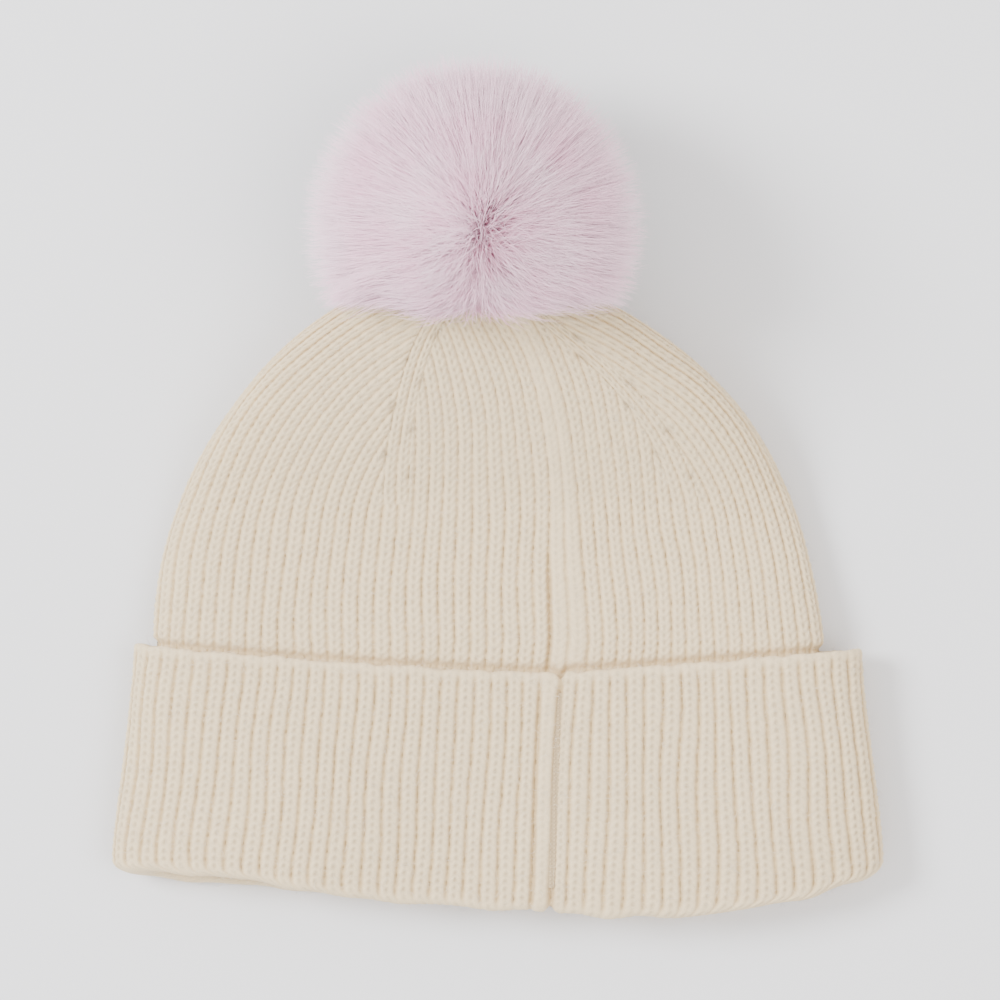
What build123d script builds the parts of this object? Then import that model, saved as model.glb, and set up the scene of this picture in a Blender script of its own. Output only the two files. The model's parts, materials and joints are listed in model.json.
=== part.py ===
from build123d import *
import math
import os

# Pom pom beanie, lying flat on its front: +Z up, +X across, +Y from the mouth to the pom.
# Millimetres. The origin is under the middle of the whole hat, on the surface it lies on.

# ---- driving dimensions ----
KNIT = 3.0                    # thickness of one layer of rib knit
LAYER_GAP = 0.3               # room between the cuff and the body it slides over

CUFF_HALF_WIDTH_LOW = 120.0   # the flat cuff near the mouth
CUFF_HALF_WIDTH_TOP = 112.0   # and at its upper edge
CUFF_BOTTOM_Y = -131.5        # lowest point of the bowed mouth edge
CUFF_CORNER_Y = -117.0        # the mouth edge at its two corners
CUFF_TOP_Y = -48.5            # the upper edge at its two corners
CUFF_TOP_MIDDLE_Y = -57.0     # and where it dips at the back seam
CUFF_BOW_X = 12.0             # where both edges bow furthest
CUFF_SIDE_RADIUS = 9.0        # the rounded fold down each side
FOLD_DEPTH = 8.0              # height of the doubled knit at the fold

BODY_HALF_WIDTH = 107.0       # the body inside the cuff
BODY_THICK = 15.0             # two layers and the gap for the head
BODY_NARROWING = 20.0         # length over which it narrows to the dome's width
BODY_LEAN_START_Y = -120.0    # from here the middle leans towards the pom's side
SETTLE_START_Y = -44.0        # the lower layer comes down off the cuff from here
SETTLE_END_Y = -20.0          # and lies on the surface from here
DOME_START_Y = -54.0
DOME_END_GAP = 2.0            # the outline would close this far past the tip
DOME_HALF_WIDTH = 104.0       # where the body leaves the cuff
DOME_CURVE = 2.2              # above 2 the sides stay upright for longer
DOME_ROUNDING = 1.75          # below 2 the top is more pointed than an ellipse
LOWER_RISE_Y = 20.0           # the lower layer lies on the surface up to here
UPPER_RISE_Y = -5.0           # the upper layer slopes up to the pom from here
TIP_THICK = 24.0              # the gathered crown is puffed out round the button
TIP_TURN_Y = 30.0             # its outline begins to turn square to the neck's axis
EYE_RADIUS = 6.2              # hole left in the gathered crown

POM_CENTRE = (-7.0, 80.0, 46.0)
POM_HALF_SIZE = (51.0, 51.5, 47.0)
NECK_PIVOT = (-7.0, 56.6, 36.0)   # the anchor button, where the pom rocks on the crown

# Along the neck's own axis, measured from the pivot towards the pom:
CROWN_TIP_Y = 6.9
POM_BASE_Y = 9.9
POM_RELIEF_DEG = 20.0         # hollow in the pom's base, so that it can tilt on the crown
POM_RELIEF_RADIUS = 12.0
POM_RIM_RISE_DEG = 5.0
POM_MOUTH_RADIUS = 4.2        # gathered mouth of the fur cover
CORE_RADIUS = 14.0            # stuffing inside the cover
CORE_CENTRE_Y = 25.4

BUTTON_RADIUS = 5.5
BUTTON_THICK = 2.0
CORD_RADIUS = 0.8
CORD_LEG_X = 1.8              # the two legs stand either side of the neck's axis
CORD_HOLE_RADIUS = 1.4
TOGGLE_RADIUS = 8.0
TOGGLE_THICK = 2.0
TOGGLE_Y = 13.4
TOGGLE_HOLE_RADIUS = 3.0
KNOT_RADIUS = 3.2
KNOT_Y = 19.0
CORD_BRIDGE_GAP = 0.8
THREAD_RADIUS = 0.6
THREAD_INSET = 1.2            # from the edge of the knit or fur that a thread draws up

SEAM_X = 21.0                 # where the back seam crosses the cuff's upper edge
SEAM_BEND_Y = -46.0           # below this the seam is straight
SEAM_LEAN = 0.074             # sideways run of the straight part
SEAM_CURVE_LENGTH = 108.0     # from the bend to the tip
SEAM_DRIFT = 4.0              # steady sideways drift over the curve
SEAM_CURL = 20.0              # and how far it curls over near the tip
SEAM_WIDTH = 3.6
SEAM_THICK = 1.2
SEAM_BITE = 0.3               # how far the stitches sink into the knit
CROWN_SEAM_ENDS = (-118.0, 40.0)
CUFF_SEAM_ENDS = (-122.0, -62.0)
LABEL_SIZE = (24.0, 30.0, 0.6)
LABEL_MIDDLE_Y = -92.0
LABEL_EDGE_GAP = 1.3          # between the label's caught edge and the seam
TACK_LENGTH = 3.0             # a bartack at each end of that edge
TACK_WIDTH = 0.8
TACK_INSET = 2.0              # from the label's corner

CUFF_THICK = 2 * KNIT + 2 * LAYER_GAP + BODY_THICK
BODY_LOW_Z = KNIT + LAYER_GAP
BODY_TOP_Z = BODY_LOW_Z + BODY_THICK
CLEAR = 20.0                  # how far a cutting shape runs past what it cuts

NECK_TILT = math.degrees(math.atan2(POM_CENTRE[2] - NECK_PIVOT[2], POM_CENTRE[1] - NECK_PIVOT[1]))
NECK = Pos(*NECK_PIVOT) * Rot(NECK_TILT, 0, 0)
TIP_Y = NECK_PIVOT[1] + CROWN_TIP_Y * math.cos(math.radians(NECK_TILT))

os.makedirs("parts", exist_ok=True)


# ---- the shape of the body ----
def smooth_step(value, low, high):
    """0 below low, 1 above high, and an S curve between."""
    u = min(1.0, max(0.0, (value - low) / (high - low)))
    return u * u * (3 - 2 * u)


def ramp(value, low, high):
    return min(1.0, max(0.0, (value - low) / (high - low)))


def half_width(y):
    """Half the flat width of the body: straight in the cuff, then the dome."""
    if y <= DOME_START_Y:
        narrowing = smooth_step(y, DOME_START_Y - BODY_NARROWING, DOME_START_Y)
        return BODY_HALF_WIDTH + (DOME_HALF_WIDTH - BODY_HALF_WIDTH) * narrowing
    u = (y - DOME_START_Y) / (TIP_Y + DOME_END_GAP - DOME_START_Y)
    return DOME_HALF_WIDTH * (1 - u ** DOME_CURVE) ** (1 / DOME_ROUNDING)


def middle_x(y):
    """The body leans towards the pom's side: half of it low down, half near the tip."""
    low = smooth_step(y, BODY_LEAN_START_Y, SETTLE_END_Y)
    high = smooth_step(y, LOWER_RISE_Y, TIP_Y)
    return NECK_PIVOT[0] * (low + high) / 2


def lower_z(y):
    """The lower layer's outer face: on the cuff, then on the surface, then up to the neck."""
    sag = BODY_LOW_Z * (1 - smooth_step(y, SETTLE_START_Y, SETTLE_END_Y))
    return sag + (NECK_PIVOT[2] - TIP_THICK / 2) * ramp(y, LOWER_RISE_Y, NECK_PIVOT[1])


def upper_z(y):
    """The upper layer's outer face: level, then a slope up to the neck."""
    rise = NECK_PIVOT[2] + TIP_THICK / 2 - BODY_TOP_Z
    return BODY_TOP_Z + rise * ramp(y, UPPER_RISE_Y, NECK_PIVOT[1])


def body_section(y, inset):
    """The outline of the body across its length, moved in by inset."""
    beyond_pivot = max(0.0, y - NECK_PIVOT[1])
    middle_z = (lower_z(y) + upper_z(y)) / 2 + beyond_pivot * math.tan(math.radians(NECK_TILT))
    tilt = math.radians(NECK_TILT) * smooth_step(y, TIP_TURN_Y, NECK_PIVOT[1])
    plane = Plane(origin=(middle_x(y), y, middle_z), x_dir=(1, 0, 0),
                  z_dir=(0, math.cos(tilt), math.sin(tilt)))
    width = 2 * (half_width(y) - inset)
    height = upper_z(y) - lower_z(y) - 2 * inset
    return plane * SlotOverall(width, height)


def seam_x(y):
    """The back seam: nearly straight up the body, then curving to the tip."""
    if y < SEAM_BEND_Y:
        return SEAM_X + SEAM_LEAN * (y - SEAM_BEND_Y)
    u = (y - SEAM_BEND_Y) / SEAM_CURVE_LENGTH
    return SEAM_X - SEAM_DRIFT * u - SEAM_CURL * u ** 5


# ---- the cuff ----
def cuff_outline(inset, bottom_y, corner_y, top_y, top_middle_y):
    """The flat cuff seen from above: bowed mouth edge, leaning sides, dipped upper edge."""
    lean = (CUFF_HALF_WIDTH_LOW - CUFF_HALF_WIDTH_TOP) / (CUFF_TOP_Y - CUFF_CORNER_Y)
    low_x = CUFF_HALF_WIDTH_LOW - inset - lean * (corner_y - CUFF_CORNER_Y)
    top_x = CUFF_HALF_WIDTH_LOW - inset - lean * (top_y - CUFF_CORNER_Y)
    with BuildSketch() as outline:
        with BuildLine():
            bottom = ThreePointArc((-low_x, corner_y), (CUFF_BOW_X, bottom_y), (low_x, corner_y))
            right = Line(bottom @ 1, (top_x, top_y))
            top = ThreePointArc(right @ 1, (CUFF_BOW_X, top_middle_y), (-top_x, top_y))
            Line(top @ 1, bottom @ 0)
        make_face()
    return outline.sketch


def slab(outline, z_low, z_high):
    return extrude(Pos(0, 0, z_low) * outline, z_high - z_low)


def make_cuff():
    """A flat sleeve, open at both ends: one layer above and below, doubled at the fold."""
    outline = cuff_outline(0, CUFF_BOTTOM_Y, CUFF_CORNER_Y, CUFF_TOP_Y, CUFF_TOP_MIDDLE_Y)
    sleeve = slab(outline, 0, CUFF_THICK)
    side_edges = [e for e in sleeve.edges() if abs(e.tangent_at(0.5).Y) > 0.9]
    sleeve = fillet(side_edges, CUFF_SIDE_RADIUS)

    beyond_y = CUFF_TOP_Y + CLEAR
    pocket = slab(
        cuff_outline(KNIT, CUFF_BOTTOM_Y + FOLD_DEPTH, CUFF_CORNER_Y + FOLD_DEPTH,
                     beyond_y, beyond_y - 1),
        KNIT, CUFF_THICK - KNIT)
    pocket_edges = [e for e in pocket.edges() if abs(e.tangent_at(0.5).Y) > 0.9]
    pocket = fillet(pocket_edges, CUFF_SIDE_RADIUS - KNIT)

    mouth_wall = 2 * KNIT + LAYER_GAP
    mouth = Pos(0, CUFF_BOTTOM_Y, CUFF_THICK / 2) * Box(
        2 * (BODY_HALF_WIDTH - KNIT), 5 * CLEAR, CUFF_THICK - 2 * mouth_wall)
    return sleeve - pocket - mouth


# ---- the body and its crown ----
def body_stations():
    """Where the body's outline is taken: close together where the dome closes."""
    straight = [-126, -90, DOME_START_Y, SETTLE_START_Y, -36, -28, SETTLE_END_Y]
    dome = [UPPER_RISE_Y, 8, LOWER_RISE_Y, 28, 36, 43, 48, 53, NECK_PIVOT[1], 60, TIP_Y]
    return straight + dome


def make_crown():
    """A flat tube, open at the mouth and gathered to a small eye at the tip."""
    outer = loft([body_section(y, 0) for y in body_stations()], ruled=True)
    inner_stations = [y for y in body_stations() if y < TIP_Y - KNIT] + [TIP_Y - KNIT]
    inner_stations[0] -= 1
    inner = loft([body_section(y, KNIT) for y in inner_stations], ruled=True)
    eye = on_axis(0, CROWN_TIP_Y + CLEAR, EYE_RADIUS)
    end_y = CUFF_BOTTOM_Y + FOLD_DEPTH + LAYER_GAP
    end_corner_y = CUFF_CORNER_Y + FOLD_DEPTH + LAYER_GAP
    kept_y = TIP_Y + CLEAR
    kept = slab(cuff_outline(KNIT, end_y, end_corner_y, kept_y, kept_y - 1), -CLEAR, 4 * CLEAR)
    return (outer - inner - eye) & kept


# ---- seams, label and gathering thread ----
def seam_ribbon(stations, top_z):
    """A flat band of stitches that follows the seam."""
    sections = []
    for y in stations:
        middle = (seam_x(y), y, top_z(y) - SEAM_THICK / 2)
        plane = Plane(origin=middle, x_dir=(1, 0, 0), z_dir=(0, 1, 0))
        sections.append(plane * Rectangle(SEAM_WIDTH, SEAM_THICK))
    return loft(sections, ruled=True)


def inner_ceiling(y):
    return upper_z(y) - KNIT


def make_crown_seam():
    low_y, high_y = CROWN_SEAM_ENDS
    stations = [y for y in body_stations() if low_y < y < high_y]
    return seam_ribbon([low_y] + stations, lambda y: inner_ceiling(y) + SEAM_BITE)


def make_cuff_seam():
    """In the thickness of the cuff's upper layer, under the furrow that shows on top."""
    return seam_ribbon(CUFF_SEAM_ENDS, lambda y: CUFF_THICK - KNIT / 2)


def make_label():
    """A plain woven label, one edge caught in the back seam inside the body."""
    width, length, thick = LABEL_SIZE
    seam_edge_x = seam_x(LABEL_MIDDLE_Y) - SEAM_WIDTH / 2 - LABEL_EDGE_GAP
    top_z = inner_ceiling(LABEL_MIDDLE_Y) - LAYER_GAP
    middle = Pos(seam_edge_x - width / 2, LABEL_MIDDLE_Y, top_z - thick / 2)
    return middle * Box(width, length, thick)


def make_label_stitches():
    """A bartack at each end of the label's caught edge."""
    width, length, thick = LABEL_SIZE
    top_z = inner_ceiling(LABEL_MIDDLE_Y) + SEAM_BITE
    bottom_z = top_z - SEAM_BITE - LAYER_GAP - thick - SEAM_BITE
    tacks = []
    for side in (-1, 1):
        y = LABEL_MIDDLE_Y + side * (length / 2 - TACK_INSET)
        x = seam_x(LABEL_MIDDLE_Y) - SEAM_WIDTH / 2 - LABEL_EDGE_GAP - TACK_INSET
        tack = Box(TACK_LENGTH, TACK_WIDTH, top_z - bottom_z)
        tacks.append(Pos(x, y, (top_z + bottom_z) / 2) * tack)
    return Compound(tacks)


def ring(y, radius):
    """A drawn-up thread round the neck's axis."""
    return NECK * Pos(0, y, 0) * Rot(90, 0, 0) * Torus(radius, THREAD_RADIUS)


# ---- how the pom is tied on ----
def on_axis(y_low, y_high, radius):
    """A cylinder along the neck's axis."""
    middle = NECK * Pos(0, (y_low + y_high) / 2, 0)
    return middle * Rot(90, 0, 0) * Cylinder(radius, y_high - y_low)


def at_core(shape):
    """A shape centred on the stuffing."""
    return NECK * Pos(0, CORE_CENTRE_Y, 0) * shape


def under_toggle():
    """Everything on the crown's side of the toggle's upper face."""
    side = 5 * CLEAR
    return NECK * Pos(0, TOGGLE_Y + TOGGLE_THICK - side / 2, 0) * Box(side, side, side)


def make_button():
    button = on_axis(-BUTTON_THICK / 2, BUTTON_THICK / 2, BUTTON_RADIUS)
    button = fillet(button.edges(), BUTTON_THICK * 0.3)
    for side in (-1, 1):
        hole = Pos(side * CORD_LEG_X, 0, 0) * Rot(90, 0, 0) * Cylinder(CORD_HOLE_RADIUS, CLEAR)
        button -= NECK * hole
    return button


def make_cord():
    """Two legs from the knot down through the button, joined by a bridge under it."""
    bridge_y = -BUTTON_THICK / 2 - CORD_RADIUS - CORD_BRIDGE_GAP
    route = FilletPolyline(
        (-CORD_LEG_X, KNOT_Y, 0), (-CORD_LEG_X, bridge_y, 0),
        (CORD_LEG_X, bridge_y, 0), (CORD_LEG_X, KNOT_Y, 0), radius=CORD_LEG_X * 0.9)
    start = Plane(origin=route @ 0, z_dir=route % 0)
    return NECK * sweep(start * Circle(CORD_RADIUS), path=route)


def make_knot():
    return NECK * Pos(0, KNOT_Y, 0) * Sphere(KNOT_RADIUS)


# ---- the pom ----
def make_toggle():
    disc = on_axis(TOGGLE_Y, TOGGLE_Y + TOGGLE_THICK, TOGGLE_RADIUS)
    disc = fillet(disc.edges(), TOGGLE_THICK * 0.3)
    return disc - on_axis(TOGGLE_Y - 1, TOGGLE_Y + TOGGLE_THICK + 1, TOGGLE_HOLE_RADIUS)


def knot_room():
    return on_axis(TOGGLE_Y - 1, KNOT_Y + KNOT_RADIUS + 1, KNOT_RADIUS + 1)


def make_fill():
    return at_core(Sphere(CORE_RADIUS)) - under_toggle() - knot_room()


def pom_base_cutter():
    """What the pom's base leaves free for the crown: a cone at the neck, then a shallow rim."""
    reach = POM_HALF_SIZE[1] + CLEAR
    neck_rise = POM_RELIEF_RADIUS * math.tan(math.radians(POM_RELIEF_DEG))
    rim_rise = (reach - POM_RELIEF_RADIUS) * math.tan(math.radians(POM_RIM_RISE_DEG))
    rim_y = POM_BASE_Y + neck_rise
    profile = make_face(Polyline(
        (0, POM_BASE_Y), (POM_RELIEF_RADIUS, rim_y), (reach, rim_y + rim_rise),
        (reach, POM_BASE_Y - reach), (0, POM_BASE_Y - reach), close=True))
    return NECK * revolve(profile, axis=Axis.Y, revolution_arc=360)


def make_fur_cover():
    """The ball of pile with its backing: hollow for the stuffing, toggle and knot."""
    ball = Pos(*POM_CENTRE) * scale(Sphere(1), by=POM_HALF_SIZE)
    core = at_core(Sphere(CORE_RADIUS)) - under_toggle()
    seat = on_axis(TOGGLE_Y, TOGGLE_Y + TOGGLE_THICK, TOGGLE_RADIUS)
    mouth = on_axis(POM_BASE_Y - 5, TOGGLE_Y + 1, POM_MOUTH_RADIUS)
    return ball - pom_base_cutter() - core - seat - mouth


def main():
    pieces = {
        "crown_knit": make_crown(),
        "cuff_knit": make_cuff(),
        "crown_seam_thread": make_crown_seam(),
        "cuff_seam_thread": make_cuff_seam(),
        "crown_gather_thread": ring(CROWN_TIP_Y - KNIT / 2, EYE_RADIUS + THREAD_INSET),
        "care_label": make_label(),
        "care_label_stitches": make_label_stitches(),
        "anchor_button": make_button(),
        "tie_cord": make_cord(),
        "tie_knot": make_knot(),
        "pom_toggle": make_toggle(),
        "pom_gather_thread": ring(POM_BASE_Y + 2 * THREAD_INSET, POM_MOUTH_RADIUS + THREAD_INSET),
        "fibre_fill": make_fill(),
        "fur_cover": make_fur_cover(),
    }
    for name, shape in pieces.items():
        export_step(shape, f"parts/{name}.step")


main()
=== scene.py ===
import json
import math

import bmesh
import bpy
import numpy as np
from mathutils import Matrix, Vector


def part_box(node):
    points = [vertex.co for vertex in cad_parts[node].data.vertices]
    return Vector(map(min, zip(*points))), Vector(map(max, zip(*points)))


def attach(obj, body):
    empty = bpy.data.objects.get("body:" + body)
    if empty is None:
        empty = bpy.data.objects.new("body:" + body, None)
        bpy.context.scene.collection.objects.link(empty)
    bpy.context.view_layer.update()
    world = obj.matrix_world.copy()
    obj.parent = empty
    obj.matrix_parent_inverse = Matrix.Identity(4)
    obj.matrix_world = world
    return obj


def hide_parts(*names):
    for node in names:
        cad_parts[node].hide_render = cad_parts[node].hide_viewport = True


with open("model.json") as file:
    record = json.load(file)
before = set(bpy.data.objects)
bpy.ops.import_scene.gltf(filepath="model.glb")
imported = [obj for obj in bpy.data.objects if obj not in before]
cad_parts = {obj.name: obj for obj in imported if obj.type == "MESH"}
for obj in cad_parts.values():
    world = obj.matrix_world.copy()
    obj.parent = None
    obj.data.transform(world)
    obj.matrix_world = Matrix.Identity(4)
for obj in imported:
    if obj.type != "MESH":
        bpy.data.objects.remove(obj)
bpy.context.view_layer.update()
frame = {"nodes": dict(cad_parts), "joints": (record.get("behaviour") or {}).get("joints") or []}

MM = 0.001

# ---- the knit, in millimetres ----
KNIT = 3.0                 # thickness of one layer
WALES_LEFT = 26.5          # ribs from the seam to the left fold, which is mid rib
WALES_RIGHT = 18.5         # and to the right fold
ROW = 2.45                 # height of one row of stitches
RIB_DEPTH = 1.5            # furrow between two ribs
STITCH_DEPTH = 0.45        # crease between two stitches of a rib
DOT_DEPTH = 0.75           # hollow at the middle of each V stitch
GRID = 0.42                # size of the mesh's squares where the knit shows
COARSE = 1.1               # and underneath
BLIND = 3.0                # and inside


# ---------------------------------------------------------------- small helpers
def smooth(value, low, high):
    """0 below low, 1 above high, an S curve between; works on arrays."""
    u = np.clip((value - low) / (high - low), 0.0, 1.0)
    return u * u * (3.0 - 2.0 * u)


def mix(a, b, share):
    return a + (b - a) * share


def wobble(x, y, size, seed):
    """Smooth unevenness between about -1 and 1, from a few crossed waves."""
    rng = np.random.default_rng(seed)
    total = np.zeros(np.broadcast(x, y).shape)
    for _ in range(6):
        angle, phase = rng.uniform(0, 2 * math.pi, 2)
        length = size * rng.uniform(0.7, 1.6)
        along = x * math.cos(angle) + y * math.sin(angle)
        total += np.sin(2 * math.pi * along / length + phase)
    return total / 6 ** 0.5


def box_mm(node):
    low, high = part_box(node)
    return np.array(low) / MM, np.array(high) / MM


def lay_flat(mesh, across, up):
    """Adds a flat map named OFBake, with the given coordinates for each face corner."""
    layer = mesh.uv_layers.new(name="OFBake")
    layer.uv.foreach_set("vector", np.stack([across, up], axis=-1).astype(np.float32).ravel())


def mesh_object(name, points, faces, rows, columns, attributes=None):
    """A smooth-shaded mesh from points in millimetres and rows by columns of quads."""
    mesh = bpy.data.meshes.new(name)
    mesh.vertices.add(len(points))
    mesh.vertices.foreach_set("co", (np.asarray(points) * MM).astype(np.float32).ravel())
    corners = faces.shape[1]
    mesh.loops.add(faces.size)
    mesh.loops.foreach_set("vertex_index", faces.astype(np.int32).ravel())
    mesh.polygons.add(len(faces))
    mesh.polygons.foreach_set("loop_start", np.arange(0, faces.size, corners, dtype=np.int32))
    mesh.polygons.foreach_set("use_smooth", np.ones(len(faces), dtype=bool))
    mesh.update(calc_edges=True)
    across = np.arange(columns)[None, :, None] + np.array([0, 1, 1, 0])
    up = np.arange(rows)[:, None, None] + np.array([0, 0, 1, 1])
    across, up = np.broadcast_arrays(across / columns, up / rows)
    lay_flat(mesh, across, up)
    for key, values in (attributes or {}).items():
        layer = mesh.attributes.new(key, "FLOAT", "POINT")
        layer.data.foreach_set("value", np.asarray(values).astype(np.float32).ravel())
    piece = bpy.data.objects.new(name, mesh)
    bpy.context.scene.collection.objects.link(piece)
    return piece


def torus_faces(rows, columns):
    """Quads of a grid that closes on itself both ways."""
    r = np.arange(rows)[:, None]
    c = np.arange(columns)[None, :]
    r_next = (r + 1) % rows
    c_next = (c + 1) % columns
    quads = np.stack([r * columns + c, r * columns + c_next,
                      r_next * columns + c_next, r_next * columns + c], axis=-1)
    return quads.reshape(-1, 4)


# ---------------------------------------------------------------- the hat's lie
body_low, body_high = box_mm("crown_knit")
cuff_low, cuff_high = box_mm("cuff_knit")
pivot = np.array(next(j for j in frame["joints"] if j["name"] == "pom_nod")["pos_m"]) / MM

TIP_Y = body_high[1] - 0.5
DOME_START_Y = -54.0
DOME_END_GAP = 2.0         # the outline would close this far past the tip
DOME_HALF = 104.0
DOME_CURVE = 2.2           # above 2 the sides stay upright for longer
DOME_ROUNDING = 1.75       # below 2 the top is more pointed than an ellipse
BODY_HALF_WIDTH = 106.5    # the body inside the cuff
CUFF_TOP = cuff_high[2]
LAYER_GAP = 0.3            # room between the cuff and the body
TIP_RISE = 12.0            # the tip's upper and lower sides, from the pom's pivot
TIP_DROP = 11.0
EYE_PAST_TIP = 1.2         # how far the gathered ring stands past the last row
EYE_RADIUS = 5.0


def dome_half_width(y):
    """Half the body's flat width: straight inside the cuff, then the dome."""
    u = np.clip((y - DOME_START_Y) / (TIP_Y + DOME_END_GAP - DOME_START_Y), 0.0, 1.0)
    dome = DOME_HALF * (1.0 - u ** DOME_CURVE) ** (1 / DOME_ROUNDING)
    wider = BODY_HALF_WIDTH - DOME_HALF
    inside = DOME_HALF + wider * smooth(-y, -DOME_START_Y, -DOME_START_Y + 20)
    return np.where(y > DOME_START_Y, dome, inside)


def dome_edge(aside):
    """The outline's y at a distance from the body's middle."""
    u = (1.0 - np.clip(aside / DOME_HALF, 0, 1) ** DOME_ROUNDING) ** (1 / DOME_CURVE)
    return mix(DOME_START_Y, TIP_Y + DOME_END_GAP, u)


def body_middle(y):
    """The body leans towards the pom's side, low down and again near the tip."""
    return pivot[0] * (smooth(y, -120, -20) + smooth(y, 20, TIP_Y)) / 2


def seam_x(y):
    """The back seam: nearly straight up, then curving over to the tip."""
    u = np.clip((y + 46) / 108, 0.0, 1.0)
    below = 22 + 0.074 * np.minimum(y + 46, 0)
    return below - 4 * u - 20 * u ** 5


def body_top(y):
    """The upper layer's height: level, then a slope up to the pom."""
    level = CUFF_TOP - KNIT - LAYER_GAP
    slope = (pivot[2] + TIP_RISE - level) / (pivot[1] + 5)
    past = y + 3
    return level - 1.0 * smooth(y, -44, -20) + slope * (past + np.sqrt(past ** 2 + 20)) / 2


def body_bottom(y):
    """The lower layer's height: on the cuff, on the surface, then up to the pom."""
    inside = KNIT + LAYER_GAP
    return inside * (1 - smooth(y, -44, -20)) + (pivot[2] - TIP_DROP) * smooth(y, 18, 62)


def cuff_seam_x(y):
    """The furrow where the cuff is joined."""
    return 19.2 + 0.045 * (y + 60)


def mouth_line(x):
    """The hat's bowed lower edge, lowest right of the seam."""
    right = 10.7 * np.clip((x - 40) / 71, 0, None) ** 2.2
    left = 12.0 * np.clip((40 - x) / 150, 0, None) ** 1.2
    notch = 1.6 * np.exp(-((x - cuff_seam_x(cuff_low[1])) / 1.5) ** 2)
    return cuff_low[1] + 0.3 + right + left + notch


def layer_step(x):
    """How far the upper layer's edge stops short of the lower one's, at the left."""
    return 2.8 * smooth(-x, 45, 85) * (1 - 0.5 * smooth(-x, 100, 118))


def cuff_top_line(x):
    """The cuff's upper edge, lowest at the seam."""
    left = 8.6 * np.abs((x - 14) / 127.0) ** 1.35
    right = 7.2 * np.abs((x - 14) / 98.0) ** 1.2
    notch = 1.5 * np.exp(-((x - cuff_seam_x(-57)) / 1.5) ** 2)
    return -57.2 + np.where(x < 14, left, right) - notch


# ---------------------------------------------------------------- loops round the hat
def loop_table(rounding, half, bottom, top, middle_x, columns_top, columns_under):
    """Points of a flattened loop for each row, evenly spaced over and under.

    Returns x, z, the outward normals and the flat coordinate of each column: minus W to
    plus W over the top, and on past the right fold underneath back to the left one."""
    fine = np.linspace(-1, 1, 361)
    q = np.sin(fine * math.pi / 2)
    rows = len(half)
    x = np.zeros((rows, columns_top + columns_under))
    z = np.zeros_like(x)
    flat = np.zeros_like(x)
    share_top = np.arange(columns_top) / columns_top
    share_under = np.arange(columns_under) / columns_under
    for i in range(rows):
        power = rounding[i]
        lift = np.sqrt(np.clip(1 - np.abs(q) ** power, 0, 1))
        fine_x = half[i] * q
        depth = (top[i] - bottom[i]) / 2
        fine_z = depth * lift
        length = np.concatenate([[0], np.cumsum(np.hypot(np.diff(fine_x), np.diff(fine_z)))])
        full = length[-1]
        x[i, :columns_top] = np.interp(share_top * full, length, fine_x)
        z[i, :columns_top] = np.interp(share_top * full, length, fine_z)
        x[i, columns_top:] = -np.interp(share_under * full, length, fine_x)
        z[i, columns_top:] = -np.interp(share_under * full, length, fine_z)
        flat[i, :columns_top] = (share_top - 0.5) * full
        flat[i, columns_top:] = (0.5 + share_under) * full
        z[i] += (top[i] + bottom[i]) / 2
    tangent_x = np.roll(x, -1, 1) - np.roll(x, 1, 1)
    tangent_z = np.roll(z, -1, 1) - np.roll(z, 1, 1)
    size = np.hypot(tangent_x, tangent_z)
    normal_x = -tangent_z / size
    normal_z = tangent_x / size
    return x + np.asarray(middle_x)[:, None], z, normal_x, normal_z, flat


# ---------------------------------------------------------------- the rib pattern
def rib_height(wale, row, plain, upside_down=False):
    """Height of the knit in millimetres, at most 0, and masks for painted shade: how deep in a
    furrow a point is, and the hollows of the stitches.

    A whole number of wale is a furrow. Each rib is a column of V stitches: two plump legs
    that lean out from the rib's middle."""
    across = wale - np.floor(wale) - 0.5
    chance = np.sin(np.floor(wale) * 12.9898 + np.floor(row) * 78.233) * 43758.5453
    chance = chance - np.floor(chance)
    scallop = 0.03 * np.cos(2 * math.pi * (row + 0.25)) + 0.04 * (chance - 0.5)
    side = np.clip(np.abs(across) * 2 * (1 + scallop), 0, 1)
    rib = np.clip(1 - side ** 2.6, 0, 1) ** 0.6
    lean = 0.8 * side
    phase = row + lean if upside_down else row - lean
    crease = 1 - np.abs(np.sin(math.pi * phase)) ** 0.6
    leg = np.exp(-((side - 0.46) / 0.34) ** 2)
    middle = np.exp(-(side / 0.22) ** 2)
    dot = middle * (0.22 + 0.78 * np.abs(np.cos(math.pi * row)) ** 1.5)
    strength = 1 - plain
    height = -RIB_DEPTH * (1 - rib)
    height -= STITCH_DEPTH * strength * crease * leg + 0.12 * strength * chance
    height -= DOT_DEPTH * strength * dot
    # Painted shade: the furrow and pit masks darken the knit's colour in the furrows and in each
    # stitch's hollow.
    furrow = smooth(side, 0.5, 0.98)
    pit = np.clip(0.35 * crease * leg + dot, 0, 1) * strength
    return np.clip(height, -2.2, 0), furrow, pit


def seam_wales(distance, pitch_left, pitch_right, first_left, first_right):
    """Wales counted from the seam at 0, with the rib on either side of it of its own width."""
    left = np.where(-distance < first_left, distance / first_left,
                    -1 + (distance + first_left) / pitch_left)
    right = np.where(distance < first_right, distance / first_right,
                     1 + (distance - first_right) / pitch_right)
    return np.where(distance < 0, left, right)


# ---------------------------------------------------------------- the body and crown
GORE_START_Y = -12.0       # the crown's shaping starts here
FIRST_EYELET_Y = 2.0       # the lowest mark of a decrease
SEAM_RIB = 6.0             # width of the smooth rib on each side of the back seam
BAND_RIBS = 1.0            # ribs on each side of the middle of a line of decreases
BODY_HALF_COLUMNS = 108.0  # half of a layer's width, for the mesh's columns
GATHER_ROWS = 14
# Each line of decreases: its side, the furrow it runs up, the rib at the fold, how late it
# bends over to the tip, and the ribs that its gore still has at the tip.
LINES = ((-1, 11, WALES_LEFT, 2.9, 3.6), (1, 9, WALES_RIGHT, 1.9, 3.0))


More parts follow.
